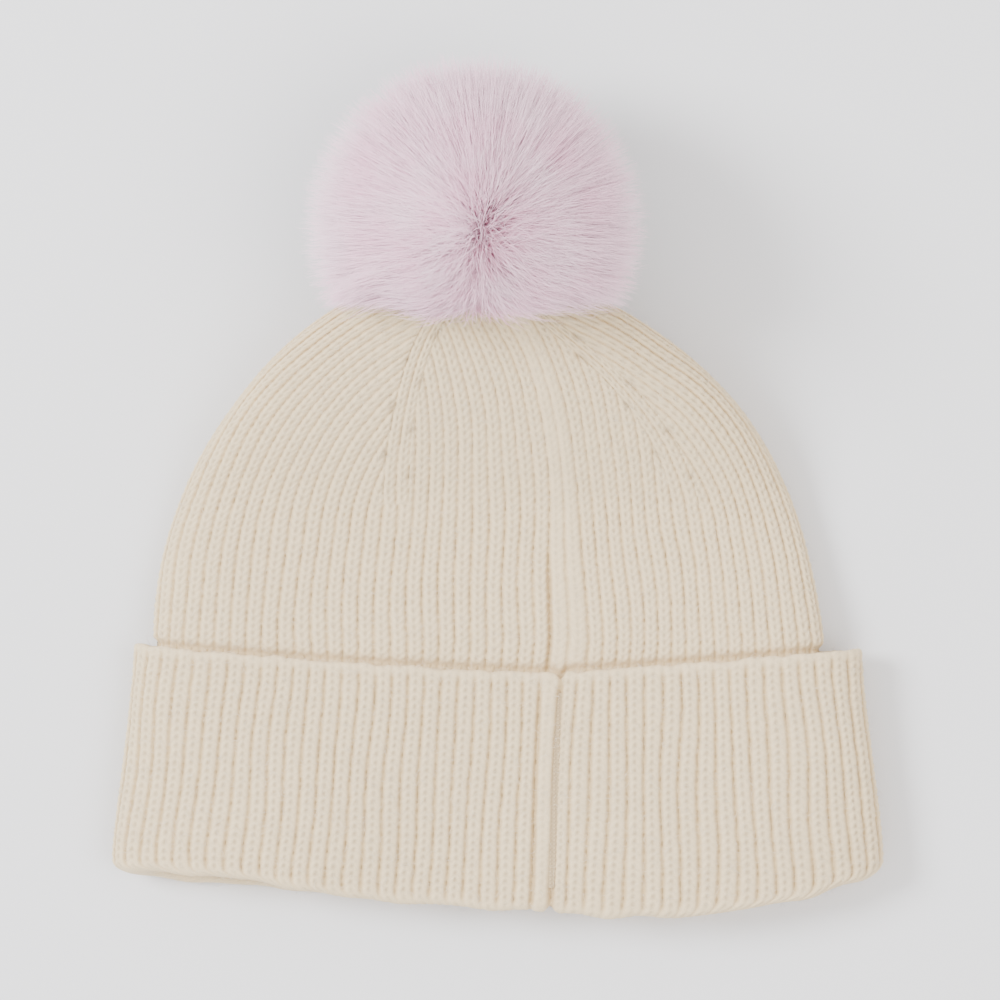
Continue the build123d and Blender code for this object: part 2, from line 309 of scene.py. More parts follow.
def crown_wales(flat, y, half_flat):
    """Rib and row numbers over the body's upper layer, shaped by two lines of decreases.

    Ribs run straight up at first. Higher up, those of each side gore follow the outline and
    end one by one at the line of decreases, and so do those of the middle gore."""
    middle = body_middle(y)
    seam = seam_x(y) - middle
    rib_seam = mix(SEAM_RIB, 4.0, smooth(y, -50, 20))
    half = half_flat[:, None]
    above = np.clip((y - GORE_START_Y) / (TIP_Y - GORE_START_Y), 0, 1)
    eyelets = np.zeros_like(y)

    half_low = np.interp(np.minimum(y, GORE_START_Y), y[:, 0], half_flat)
    pitch_left = (half_low + seam - rib_seam) / (WALES_LEFT - 1) * (1 - 0.16 * above)
    pitch_right = (half_low - seam - rib_seam) / (WALES_RIGHT - 1) * (1 - 0.16 * above)
    wale = seam_wales(flat - seam, pitch_left, pitch_right, rib_seam, rib_seam)
    outline_step = np.hypot(np.gradient(half_flat), np.gradient(y[:, 0]))
    longer = (np.cumsum(outline_step) - outline_step[0] - (y[:, 0] - y[0, 0]))[:, None]
    row = y / ROW
    start = np.searchsorted(y[:, 0], GORE_START_Y)

    for side, line_wale, last, late, ribs_at_tip in LINES:
        pitch = pitch_left if side < 0 else pitch_right
        line_below = seam + side * (rib_seam + (line_wale - 1) * pitch)
        line = np.where(y < GORE_START_Y, line_below, mix(line_below[start, 0], 0, above ** late))
        share = np.clip((half - side * flat) / (half - side * line), 0, None)
        ribs = last - line_wale
        left_over = ribs - (ribs - ribs_at_tip) * above ** 1.7
        counted = last - share * left_over
        beyond = side * (flat - line) > 0
        wale = np.where(beyond, side * counted, wale)
        extra = (longer - longer[start]) * (above > 0) * (1 - share) / ROW
        row = np.where(beyond, row + extra, row)
        band_pitch = mix(4.3, 2.6, above)
        in_band = (np.abs(flat - line) < BAND_RIBS * band_pitch) & (y > GORE_START_Y + 8)
        wale = np.where(in_band, side * line_wale + (flat - line) / band_pitch, wale)
        for edge in (-1, 1):
            away = (flat - line - edge * BAND_RIBS * band_pitch) / 1.3
            along = (np.abs((row / 6 + 0.25 * edge) % 1 - 0.5)) * 6 * ROW / 1.5
            mark = np.exp(-away ** 2 - along ** 2) * smooth(y, FIRST_EYELET_Y, FIRST_EYELET_Y + 3)
            eyelets = np.maximum(eyelets, mark)
    return wale, row, seam, rib_seam, eyelets


def gather_rows(last_row, rows):
    """Rows that draw the last loop in to a small round eye."""
    centre = np.array([pivot[0], TIP_Y + EYE_PAST_TIP, last_row[:, 2].mean()])
    around = np.arctan2(last_row[:, 2] - centre[2], last_row[:, 0] - centre[0])
    ring = np.stack([centre[0] + EYE_RADIUS * np.cos(around),
                     np.full(len(around), centre[1]),
                     centre[2] + EYE_RADIUS * np.sin(around)], axis=1)
    shares = np.linspace(0, 1, rows + 1)[1:]
    return np.stack([mix(last_row, ring, share ** 0.85) for share in shares])


def make_crown():
    fine = np.arange(body_low[1] + 0.5, TIP_Y, GRID)
    half = dome_half_width(fine)
    columns_top = int(2 * BODY_HALF_COLUMNS / GRID)
    columns_under = int(2 * BODY_HALF_COLUMNS / COARSE)
    rounding = mix(9.0, 2.4, smooth(fine, 20, TIP_Y))
    x, z, normal_x, normal_z, flat = loop_table(
        rounding, half, body_bottom(fine), body_top(fine), body_middle(fine),
        columns_top, columns_under)
    half_flat = flat[:, columns_top]
    bow = mouth_line(x) - cuff_low[1]
    y = fine[:, None] + bow * (1 - smooth(fine, -122, -56))[:, None]

    over = slice(0, columns_top)
    under = slice(columns_top, columns_top + columns_under)
    wale = np.zeros_like(x)
    row = np.zeros_like(x)
    level = np.repeat(fine[:, None], columns_top, 1)
    eyelets = np.zeros_like(x)
    wale[:, over], row[:, over], seam, rib_seam, eyelets[:, over] = crown_wales(
        flat[:, over], level, half_flat)
    past_fold = flat[:, under] / half_flat[:, None] - 1
    ribs = WALES_LEFT + WALES_RIGHT
    wale[:, under] = WALES_RIGHT + past_fold / 2 * ribs * mix(
        1.0, 0.62, smooth(fine, 0, TIP_Y))[:, None]
    row[:, under] = fine[:, None] / ROW

    wale += 0.07 * wobble(x, y, 34, 5) + 0.016 * wobble(x, y, 5, 8)
    row += 0.12 * wobble(x, y, 18, 6) + 0.05 * wobble(x, y, 6, 9)
    from_seam = np.where(flat < half_flat[:, None], flat - np.pad(
        seam, ((0, 0), (0, columns_under)), mode="edge"), 99.0)
    rib_seam = np.pad(rib_seam, ((0, 0), (0, columns_under)), mode="edge")
    plain = 0.4 * (np.abs(from_seam) < rib_seam)
    height, furrow, pit = rib_height(wale, row, plain)
    shallow = 0.3 * np.exp(-(from_seam / 2.0) ** 2)
    height *= 1 - shallow
    # The furrows' painted shade is weaker near the seam and over the middle of the crown.
    inner_crown = smooth(y, -20, 15) * smooth(half_flat[:, None] - np.abs(flat), 12, 34)
    furrow = 0.85 * furrow * (1 - 0.6 * shallow) * (1 - 0.5 * inner_crown)
    # Each eyelet is dented and, through the pit mask, painted darker: painted shade in the hole.
    height -= 0.8 * eyelets
    pit = np.clip(pit + 0.8 * eyelets, 0, 1.2)
    # Left of the seam's rib, low down, the furrow is deepened and painted darker: painted shade.
    deep = smooth(-y, 14, 30) * np.exp(-((from_seam + rib_seam) / 0.9) ** 2)
    height -= 0.9 * deep
    furrow = np.clip(furrow + 0.8 * deep, 0, 1.4)
    height += 0.45 * np.exp(-(from_seam / 5.5) ** 2)
    # Below the cuff's upper edge the body gets a groove, and the furrow mask is raised there to
    # paint the cuff's shadow on it: painted shadow.
    cuff_edge_groove_and_shadow = np.exp(-((y - cuff_top_line(x) - 1.9) / 1.5) ** 2)
    height = height * (1 - 0.5 * cuff_edge_groove_and_shadow) - 2.0 * cuff_edge_groove_and_shadow
    furrow = np.maximum(furrow, 0.62 * cuff_edge_groove_and_shadow)
    pit *= 1 - cuff_edge_groove_and_shadow
    height -= 0.4 + 0.4 * wobble(x, y, 70, 7)

    outer = np.stack([x + normal_x * height, y, z + normal_z * height], axis=-1)
    cap = gather_rows(outer[-1], GATHER_ROWS)
    cap_wale = np.repeat(wale[-1:], len(cap), 0)
    pucker, cap_furrow, _ = rib_height(cap_wale, np.zeros_like(cap_wale), np.ones_like(cap_wale))
    cap[..., 1] += 0.8 * pucker * np.linspace(1, 0.4, len(cap))[:, None]

    coarse = np.arange(TIP_Y - 3.5, body_low[1] + 0.5, -BLIND)
    pick = np.searchsorted(fine, coarse)
    hollow, inner_furrow, _ = rib_height(wale[pick] + 0.5, row[pick], 1.0)
    inside = KNIT + hollow
    inner = np.stack([x[pick] - normal_x[pick] * inside, y[pick],
                      z[pick] - normal_z[pick] * inside], axis=-1)
    inner[-1, :, 1] = outer[0, :, 1]
    throat = gather_rows(inner[0], 4)[::-1]
    throat[..., 1] = np.minimum(throat[..., 1], TIP_Y - 1.6)
    points = np.concatenate([outer, cap, throat, inner])
    blank = np.zeros((len(throat) + len(inner), x.shape[1]))
    attributes = {
        "furrow": np.concatenate([furrow, cap_furrow, 0 * throat[..., 0], inner_furrow]),
        "pit": np.concatenate([pit, 0 * cap_furrow, blank]),
        "rib_across": np.concatenate([wale, cap_wale, blank]),
        "rib_along": np.concatenate([row, 0 * cap_furrow, blank]),
        "outside": np.concatenate([smooth(y, -62, -60), 0 * cap_furrow, blank]),
    }
    rows, columns = points.shape[:2]
    piece = mesh_object("crown_rib_knit", points.reshape(-1, 3), torus_faces(rows, columns),
                        rows, columns, attributes)
    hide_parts("crown_knit")
    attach(piece, "body")
    return piece


# ---------------------------------------------------------------- the cuff
FOLD_DEPTH = 8.0           # height of the doubled knit at the mouth
FOLD_RADIUS = 3.0          # of the knit's turn there
CUFF_TALL = 73.0           # the cuff's height at its middle
CUFF_HALF_COLUMNS = 121.0  # half of a layer's width, for the mesh's columns
ROLL_LIFT = 1.4            # how far the upper edge's rolled turn stands up
CUFF_LEFT_RIB = 6.2        # the smooth wide rib beside the cuff's seam
CUFF_RIGHT_RIB = 4.6


def cuff_loops(share_up, inward):
    """Loops from the mouth (0) to the upper edge (1), moved in towards the head's opening."""
    half_out = mix(120.8, 112.4, smooth(share_up, -0.2, 1.2)) - 2.0 * np.exp(-share_up / 0.03)
    half = mix(half_out, 103.5, inward)
    bottom = mix(0.0, 2 * KNIT + LAYER_GAP, inward)
    top = mix(CUFF_TOP, CUFF_TOP - 2 * KNIT - LAYER_GAP, inward)
    return half, bottom, top


def make_cuff():
    share = np.arange(0, 1.0001, GRID / CUFF_TALL)
    turn = np.linspace(0, math.pi, 15)[:-1]
    roll = np.linspace(0, math.pi, 9)[1:]
    wall = np.linspace(FOLD_DEPTH, 3.2, 3)
    blind_share = np.linspace(1, FOLD_DEPTH / CUFF_TALL, 26)

    # One closed profile: head side of the fold, round the fold, outer face, rolled edge,
    # back down the hidden face, and across to the start.
    profile = []
    for depth in wall:
        profile.append((depth / CUFF_TALL, 1.0, 0.0, 0.0))
    for angle in turn:
        height = FOLD_RADIUS * (1 - math.sin(angle))
        profile.append((height / CUFF_TALL, (1 + math.cos(angle)) / 2, 0.0, 0.0))
    first_outer = len(profile)
    for value in share:
        if value * CUFF_TALL > FOLD_RADIUS:
            profile.append((value, 0.0, 0.0, 0.0))
    last_outer = len(profile)
    for angle in roll:
        inset = KNIT / 2 * (1 - math.cos(angle))
        profile.append((1.0, 0.0, inset, ROLL_LIFT * math.sin(angle)))
    for value in blind_share:
        profile.append((value, 0.0, KNIT, 0.0))
    for value in (0.35, 0.7):
        profile.append((FOLD_DEPTH / CUFF_TALL, value, KNIT * (1 - value), 0.0))
    profile = np.array(profile)
    share_up, inward, inset, lift = profile.T

    half, bottom, top = cuff_loops(share_up, inward)
    columns_top = int(2 * CUFF_HALF_COLUMNS / GRID)
    columns_under = int(2 * CUFF_HALF_COLUMNS / COARSE)
    x, z, normal_x, normal_z, flat = loop_table(
        np.full(len(half), 8.0), half, bottom, top, np.zeros(len(half)),
        columns_top, columns_under)
    half_flat = flat[:, columns_top]
    is_over = smooth(z, 4, 16)
    mouth = mouth_line(x) + layer_step(x) * is_over
    edge = cuff_top_line(x)
    y = mix(mouth, edge, share_up[:, None]) + lift[:, None]

    seam = cuff_seam_x(y)
    distance = flat - seam
    over_left = (half_flat[:, None] + seam - CUFF_LEFT_RIB) / (WALES_LEFT - 1)
    over_right = (half_flat[:, None] - seam - CUFF_RIGHT_RIB) / (WALES_RIGHT - 1)
    wale = seam_wales(distance, over_left, over_right, CUFF_LEFT_RIB, CUFF_RIGHT_RIB)
    past_fold = flat / half_flat[:, None] - 1
    wale = np.where(past_fold > 0, WALES_RIGHT + past_fold / 2 * (WALES_LEFT + WALES_RIGHT), wale)
    distance = np.where(past_fold > 0, 99.0, distance)
    row = y / ROW
    wale += 0.09 * wobble(x, y, 40, 15) + 0.016 * wobble(x, y, 5, 18)
    row += 0.12 * wobble(x, y, 18, 16) + 0.05 * wobble(x, y, 6, 19)
    plain = 0.45 * ((distance < 0) & (distance > -CUFF_LEFT_RIB))
    height, furrow, pit = rib_height(wale, row, plain, upside_down=True)
    from_mouth = y - mouth
    from_edge = edge + 1.4 - y
    fade = mix(0.3, 1.0, smooth(from_mouth, 0.5, 4.0))
    fade = fade * mix(0.3, 1.0, smooth(from_edge, 0.8, 4.0))
    # The seam's furrow and the furrow left of the wide rib are dented and painted darker through
    # the furrow mask: painted shade.
    gap = np.exp(-(distance / mix(1.15, 1.5, smooth(-y, 104, 121))) ** 2)
    beside = np.exp(-((distance + CUFF_LEFT_RIB) / 0.95) ** 2) * smooth(-y, 60, 66)
    height = height * fade - 1.2 * gap * smooth(from_edge, 0.5, 8) - 0.5 * beside
    furrow = np.clip(furrow * fade + 0.8 * gap + 0.5 * beside, 0, 1.3)
    pit = pit * (0.5 + 0.5 * fade)
    height -= 0.25 + 0.25 * wobble(x, y, 80, 17)
    at_edge = smooth(share_up, 0.94, 1.0)[:, None]
    y -= at_edge * (0.55 * furrow + 0.3 * pit - 0.3 * wobble(x, 0 * x, 9, 20))
    at_mouth = 1 - smooth(share_up, 0.0, 0.05)[:, None]
    y += at_mouth * (0.7 * furrow + 0.3 * pit - 0.4 * wobble(x, 0 * x, 11, 21))

    outer = np.zeros(len(share_up), bool)
    outer[first_outer:last_outer] = True
    outer_share = np.where(outer, 1.0, 0.0)[:, None]
    turning = np.zeros(len(share_up))
    turning[:first_outer] = 1
    turning[last_outer:last_outer + len(roll)] = np.linspace(1, 0, len(roll))
    outer_share = np.maximum(outer_share, turning[:, None])
    into_knit = np.ones(len(share_up))
    into_knit[:first_outer] = mix(1, -1, inward[:first_outer])
    move = height * outer_share * into_knit[:, None] - inset[:, None]
    points = np.stack([x + normal_x * move, y, z + normal_z * move], axis=-1)
    attributes = {"furrow": furrow * outer_share, "pit": pit * outer_share,
                  "rib_across": wale, "rib_along": row, "outside": outer_share + 0 * row}
    rows, columns = points.shape[:2]
    piece = mesh_object("cuff_rib_knit", points.reshape(-1, 3), torus_faces(rows, columns),
                        rows, columns, attributes)
    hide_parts("cuff_knit")
    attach(piece, "cuff")
    return piece


# ---------------------------------------------------------------- the pom pom's fur
BALL_CENTRE = np.array([-7.0, 80.0, 46.0])
BALL_HALF = np.array([51.0, 51.5, 47.0])
# The fur is combed away from a short parting, given here as directions from the centre.
PARTING = np.array([[0.06, -0.221, 0.973], [0.094, 0.027, 0.995]])
WHORL = PARTING.mean(axis=0) / np.linalg.norm(PARTING.mean(axis=0))
CROWN_EDGE_Y = 58.5        # the fur stops against the hat's crown
OVER_CROWN_Y = 56.4        # and laps a little over its upper side
CROWN_TOP_Z = 47.0         # the height of that side at the pom
FUR_ROOT = 0.28            # where hairs start, as a share of the way from the centre


def sphere_points(count, rng):
    z = rng.uniform(-1, 1, count)
    turn = rng.uniform(0, 2 * math.pi, count)
    flat = np.sqrt(1 - z * z)
    return np.stack([flat * np.cos(turn), flat * np.sin(turn), z], axis=1)


def unit(vectors):
    return vectors / np.linalg.norm(vectors, axis=-1, keepdims=True)


def combed(starts, bend, root, tip, steps, rng):
    """Paths from the core out to the ball's surface, combed away from the parting."""
    length = PARTING[1] - PARTING[0]
    beside = np.clip((starts - PARTING[0]) @ length / (length @ length), 0, 1)
    parting = unit(mix(PARTING[0], PARTING[1], beside[:, None]))
    cosine = np.clip((starts * parting).sum(axis=1), -1, 1)
    polar = np.degrees(np.arccos(cosine))
    away = unit(cosine[:, None] * starts - parting + 1e-6)
    lean = bend * polar / (polar + 8) * (1 - polar / 180) ** 1.2
    lean = lean * rng.uniform(0.7, 1.3, len(starts))
    lean = np.radians(lean + rng.normal(0, 5, len(starts)) * np.exp(-polar / 22))
    aside = unit(np.cross(starts, away))
    veer = np.radians(rng.normal(0, 1, len(starts)) * (5 + 9 * np.exp(-polar / 15)))
    along = np.linspace(0, 1, steps)
    paths = np.zeros((len(starts), steps, 3))
    for i, share in enumerate(along):
        out = lean * share ** 1.8
        off = veer * share ** 1.8
        direction = unit(starts * np.cos(out)[:, None] + away * np.sin(out)[:, None]
                         + aside * np.sin(off)[:, None])
        paths[:, i] = direction * mix(root, tip, share ** 0.7)[:, None]
    return paths


def clumped(paths, starts, clumps, strength, rng):
    """Draws the tips of neighbouring strands together."""
    centres = sphere_points(clumps, rng)
    nearest = np.argmax(starts @ centres.T, axis=1)
    guide = np.zeros((clumps,) + paths.shape[1:])
    count = np.bincount(nearest, minlength=clumps)[:, None, None] + 1e-6
    np.add.at(guide, nearest, paths)
    guide /= count
    along = np.linspace(0, 1, paths.shape[1])
    pull = strength[:, None] * smooth(along, 0.1, 1.0)[None, :]
    length = np.linalg.norm(paths, axis=2, keepdims=True)
    drawn = mix(paths, guide[nearest], pull[..., None])
    return unit(drawn) * length, nearest


def laid_against_hat(points, lap):
    """Keeps fur off the crown and the floor, by turning it aside."""
    over = smooth(points[..., 2], CROWN_TOP_Z, CROWN_TOP_Z + 7)
    aside = np.abs(points[..., 0] - pivot[0])
    wall = np.minimum(mix(CROWN_EDGE_Y, OVER_CROWN_Y, over), dome_edge(aside))
    wall += mix(1.0, 2.8, over) * lap[:, None]
    wall += 4.5 * over * np.exp(-((points[..., 0] + 38) / 10) ** 2)
    wall += 1.5 * over * np.exp(-((points[..., 0] - 22) / 8) ** 2)
    room = mix(9.0, 4.0, smooth(aside, 25, 45))
    near = points[..., 1] - wall - room
    points[..., 1] = np.where(near < 0, wall + room * np.exp(np.minimum(near, 0) / room),
                              points[..., 1])
    low = points[..., 2] - 4.0
    points[..., 2] = np.where(low < 0, 0.5 + 3.5 * np.exp(np.minimum(low, 0) / 3.5),
                              points[..., 2])
    return points


def strand_map(count, steps):
    """Gives each strand a narrow cell of a flat map: its three sides, then its two ends."""
    columns = math.ceil(math.sqrt(2.5 * count))
    rows = math.ceil(count / columns)
    left = np.arange(count) % columns
    low = np.arange(count) // columns
    side = np.arange(3)[None, None, :, None] + np.array([0, 1, 1, 0])
    level = np.arange(steps - 1)[None, :, None, None] + np.array([0, 0, 1, 1])
    across = (left[:, None, None, None] + 0 * level + side / 3) / columns
    up = (low[:, None, None, None] + 0 * side + level / (steps - 1)) / rows
    ends_across = np.tile(np.repeat((left + 0.5) / columns, 3), 2)
    ends_up = np.concatenate([np.repeat(low, 3), np.repeat(low + 1, 3)]) / rows
    return np.append(across.ravel(), ends_across), np.append(up.ravel(), ends_up)


def strand_mesh(name, paths, thick, tone, lean_to):
    """Three-sided tapered tubes, closed at both ends, one to each path.

    Their shading normals lean towards the vectors in lean_to, which softens the light."""
    count, steps = paths.shape[:2]
    along = np.linspace(0, 1, steps)
    forward = unit(np.gradient(paths, axis=1))
    helper = np.where(np.abs(forward[..., 2:3]) < 0.9, np.array([0.0, 0, 1]), np.array([1.0, 0, 0]))
    one = unit(np.cross(forward, helper))
    two = np.cross(forward, one)
    radius = thick[:, None] * (1 - 0.86 * along[None, :] ** 1.6)
    corner = np.arange(3) * 2 * math.pi / 3
    ring = (one[:, :, None] * np.cos(corner)[:, None] + two[:, :, None] * np.sin(corner)[:, None])
    points = paths[:, :, None] + radius[:, :, None, None] * ring
    base = (np.arange(count) * steps * 3)[:, None, None]
    level = (np.arange(steps - 1) * 3)[None, :, None]
    side = np.arange(3)[None, None, :]
    following = (side + 1) % 3
    quads = np.stack([base + level + side, base + level + following,
                      base + level + 3 + following, base + level + 3 + side], axis=-1)
    quads = quads.reshape(-1, 4)
    start = (np.arange(count) * steps * 3)[:, None] + np.array([0, 2, 1])
    end = (np.arange(count) * steps * 3)[:, None] + (steps - 1) * 3 + np.array([0, 1, 2])
    caps = np.concatenate([start, end])

    mesh = bpy.data.meshes.new(name)
    vertices = points.reshape(-1, 3)
    mesh.vertices.add(len(vertices))
    mesh.vertices.foreach_set("co", (vertices * MM).astype(np.float32).ravel())
    corners = np.concatenate([quads.ravel(), caps.ravel()]).astype(np.int32)
    mesh.loops.add(len(corners))
    mesh.loops.foreach_set("vertex_index", corners)
    starts = np.concatenate([np.arange(len(quads)) * 4, quads.size + np.arange(len(caps)) * 3])
    mesh.polygons.add(len(starts))
    mesh.polygons.foreach_set("loop_start", starts.astype(np.int32))
    mesh.polygons.foreach_set("use_smooth", np.ones(len(starts), dtype=bool))
    mesh.update(calc_edges=True)
    lay_flat(mesh, *strand_map(count, steps))
    for key, values in (("along", np.tile(np.repeat(along, 3), count)),
                        ("tone", np.repeat(tone, steps * 3))):
        layer = mesh.attributes.new(key, "FLOAT", "POINT")
        layer.data.foreach_set("value", values.astype(np.float32))
    facing = unit(np.repeat(lean_to, steps * 3, axis=0)
                  + np.broadcast_to(ring, points.shape).reshape(-1, 3))
    mesh.normals_split_custom_set_from_vertices(facing)
    piece = bpy.data.objects.new(name, mesh)
    bpy.context.scene.collection.objects.link(piece)
    return piece


def make_fur(name, count, seed, reach, thick, bend, clumps, pull, cap=180.0):
    """One layer of fur, over the whole ball or within cap degrees of the whorl."""
    rng = np.random.default_rng(seed)
    starts = sphere_points(count, rng)
    starts = starts[(starts[:, 2] > -0.93) & (starts @ WHORL > math.cos(math.radians(cap)))]
    count = len(starts)
    tip = rng.uniform(reach[0], reach[1], count)
    paths = combed(starts, bend, np.full(count, FUR_ROOT), tip, 7, rng)
    paths, clump = clumped(paths, starts, clumps, rng.uniform(pull[0], pull[1], count), rng)
    tone = 0.6 * rng.uniform(0, 1, clumps)[clump] + 0.4 * rng.uniform(0, 1, count)
    along = np.linspace(0, 1, paths.shape[1])
    sway = rng.normal(0, 1, (count, 2, 3))
    curl = (np.sin(along * rng.uniform(2, 6, (count, 1)))[..., None] * sway[:, :1]
            + (along ** 2)[None, :, None] * sway[:, 1:]) * 0.012
    points = BALL_CENTRE + (paths + curl * along[None, :, None]) * BALL_HALF
    lap = rng.normal(-0.3, 0.8, clumps)[clump] + rng.normal(0, 0.7, count)
    points = laid_against_hat(points, lap)
    outward = 1.8 * (unit(points[:, -1] - BALL_CENTRE) + np.array([0, 0, 1.5]))
    piece = strand_mesh(name, points, rng.uniform(0.75, 1.25, count) * thick, tone, outward)
    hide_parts("fur_cover")
    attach(piece, "pom")
    return piece


def make_backing():
    """The knitted bag that the fur grows from, puckered where its mouth is drawn up."""
    rows, columns = 40, 72
    polar = np.linspace(0.02, math.pi - 0.02, rows)[:, None]
    turn = np.linspace(0, 2 * math.pi, columns, endpoint=False)[None, :]
    pleats = 0.7 * np.cos(12 * turn) * np.exp(-(polar / 0.7) ** 2)
    radius = 14.6 + pleats + 0.25 * wobble(8 * polar, 8 * turn, 9, 51) - 0.25
    axis = unit(pivot - BALL_CENTRE)
    side = np.array([1.0, 0.0, 0.0])
    third = np.cross(axis, side)
    points = (BALL_CENTRE + (radius * np.cos(polar))[..., None] * axis
              + (radius * np.sin(polar) * np.cos(turn))[..., None] * side
              + (radius * np.sin(polar) * np.sin(turn))[..., None] * third)
    r = np.arange(rows - 1)[:, None]
    c = np.arange(columns)[None, :]
    c_next = (c + 1) % columns
    quads = np.stack([r * columns + c, r * columns + c_next,
                      (r + 1) * columns + c_next, (r + 1) * columns + c], axis=-1)
    piece = mesh_object("pom_backing", points.reshape(-1, 3), quads.reshape(-1, 4),
                        rows - 1, columns)
    close_ends(piece)
    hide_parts("fur_cover")
    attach(piece, "pom")
    return piece


def close_ends(piece):
    """Fills a tube's open ends, and turns every face outward."""
    work = bmesh.new()
    work.from_mesh(piece.data)
    bmesh.ops.holes_fill(work, edges=[e for e in work.edges if e.is_boundary])
    bmesh.ops.recalc_face_normals(work, faces=work.faces)
    work.to_mesh(piece.data)
    work.free()


# ---------------------------------------------------------------- loose fibres on the knit
def make_fuzz(name, knit, count, seed, body):
    """Short fibres that stand off the knit's outer face."""
    rng = np.random.default_rng(seed)
    mesh = knit.data
    places = np.zeros(len(mesh.vertices) * 3, np.float32)
    facing = np.zeros(len(mesh.vertices) * 3, np.float32)
    outside = np.zeros(len(mesh.vertices), np.float32)
    mesh.vertices.foreach_get("co", places)
    mesh.vertex_normals.foreach_get("vector", facing)
    mesh.attributes["outside"].data.foreach_get("value", outside)
    pick = rng.choice(np.flatnonzero(outside > 0.5), count, replace=False)
    places = places.reshape(-1, 3)[pick] / MM
    facing = facing.reshape(-1, 3)[pick]
    aside = unit(np.cross(facing, rng.normal(0, 1, (count, 3))))
    length = rng.uniform(1.2, 3.4, (count, 1, 1))
    along = np.linspace(0, 1, 5)[None, :, None]
    stand = rng.uniform(0.15, 0.6, (count, 1, 1))
    bow = rng.normal(0, 0.35, (count, 1, 1))
    across = np.cross(facing, aside)[:, None]
    paths = (places[:, None] - 0.1 * facing[:, None]
             + facing[:, None] * stand * length * np.sin(along * 2.2) * 0.8
             + aside[:, None] * length * along
             + across * bow * length * np.sin(along * math.pi))
    paths[..., 2] = np.maximum(paths[..., 2], 0.05)
    piece = strand_mesh(name, paths, rng.uniform(0.03, 0.05, count),
                        rng.uniform(0, 1, count), 2 * facing)
    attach(piece, body)
    return piece


# ---------------------------------------------------------------- materials
def srgb(red, green, blue):
    """A colour as the eye names it, 0 to 255, made linear."""
    values = []
    for v in (red, green, blue):
        v /= 255
        values.append(v / 12.92 if v < 0.04045 else ((v + 0.055) / 1.055) ** 2.4)
    return (*values, 1.0)


class Paint:
    """A material under construction: short names for the nodes it needs."""

    def __init__(self, name, roughness=0.85):
        self.material = bpy.data.materials.new(name)
        self.material.use_nodes = True
        self.tree = self.material.node_tree
        self.shader = self.tree.nodes["Principled BSDF"]
        self.shader.inputs["Roughness"].default_value = roughness

    def join(self, value, socket):
        if isinstance(value, bpy.types.NodeSocket):
            self.tree.links.new(value, socket)
        else:
            socket.default_value = value

    def attribute(self, name):
        made = self.tree.nodes.new("ShaderNodeAttribute")
        made.attribute_name = name
        return made.outputs["Fac"]

    def maths(self, kind, one, two=0.0, clamp=False):
        made = self.tree.nodes.new("ShaderNodeMath")
        made.operation = kind
        made.use_clamp = clamp
        self.join(one, made.inputs[0])
        self.join(two, made.inputs[1])
        return made.outputs[0]

    def noise(self, size, detail=3.0, roughness=0.55):
        """Noise whose blobs are about size millimetres across, from 0 to 1."""
        made = self.tree.nodes.new("ShaderNodeTexNoise")
        where = self.tree.nodes.new("ShaderNodeTexCoord")
        self.join(where.outputs["Object"], made.inputs["Vector"])
        made.inputs["Scale"].default_value = 1 / (size * MM)
        made.inputs["Detail"].default_value = detail
        made.inputs["Roughness"].default_value = roughness
        return made.outputs["Fac"]

    def wave(self, period, direction, wander):
        """Bands period millimetres apart, from 0 to 1."""
        made = self.tree.nodes.new("ShaderNodeTexWave")
        where = self.tree.nodes.new("ShaderNodeTexCoord")
        self.join(where.outputs["Object"], made.inputs["Vector"])
        made.bands_direction = direction
        made.inputs["Scale"].default_value = math.pi / 10 / (period * MM)
        made.inputs["Distortion"].default_value = wander
        made.inputs["Detail Scale"].default_value = 2.0
        return made.outputs["Fac"]

    def range(self, value, low, high, to_low, to_high):
        made = self.tree.nodes.new("ShaderNodeMapRange")
        self.join(value, made.inputs["Value"])
        for key, number in (("From Min", low), ("From Max", high),
                            ("To Min", to_low), ("To Max", to_high)):
            made.inputs[key].default_value = number
        return made.outputs["Result"]

    def blend(self, share, one, two, kind="MIX"):
        made = self.tree.nodes.new("ShaderNodeMix")
        made.data_type = "RGBA"
        made.blend_type = kind
        self.join(share, made.inputs["Factor"])
        self.join(one, made.inputs[6])
        self.join(two, made.inputs[7])
        return made.outputs[2]

    def colour(self, value):
        self.join(value, self.shader.inputs["Base Color"])

    def bump(self, height, depth, strength=1.0):
        made = self.tree.nodes.new("ShaderNodeBump")
        made.inputs["Distance"].default_value = depth * MM
        made.inputs["Strength"].default_value = strength
        self.join(height, made.inputs["Height"])
        self.join(made.outputs["Normal"], self.shader.inputs["Normal"])

    def sheen(self, weight, roughness, tint):
        self.shader.inputs["Sheen Weight"].default_value = weight
        self.shader.inputs["Sheen Roughness"].default_value = roughness
        self.shader.inputs["Sheen Tint"].default_value = tint


def grey(paint, value):
    """A number as a grey colour."""
    made = paint.tree.nodes.new("ShaderNodeCombineColor")
    for i in range(3):
        paint.join(value, made.inputs[i])
    return made.outputs[0]


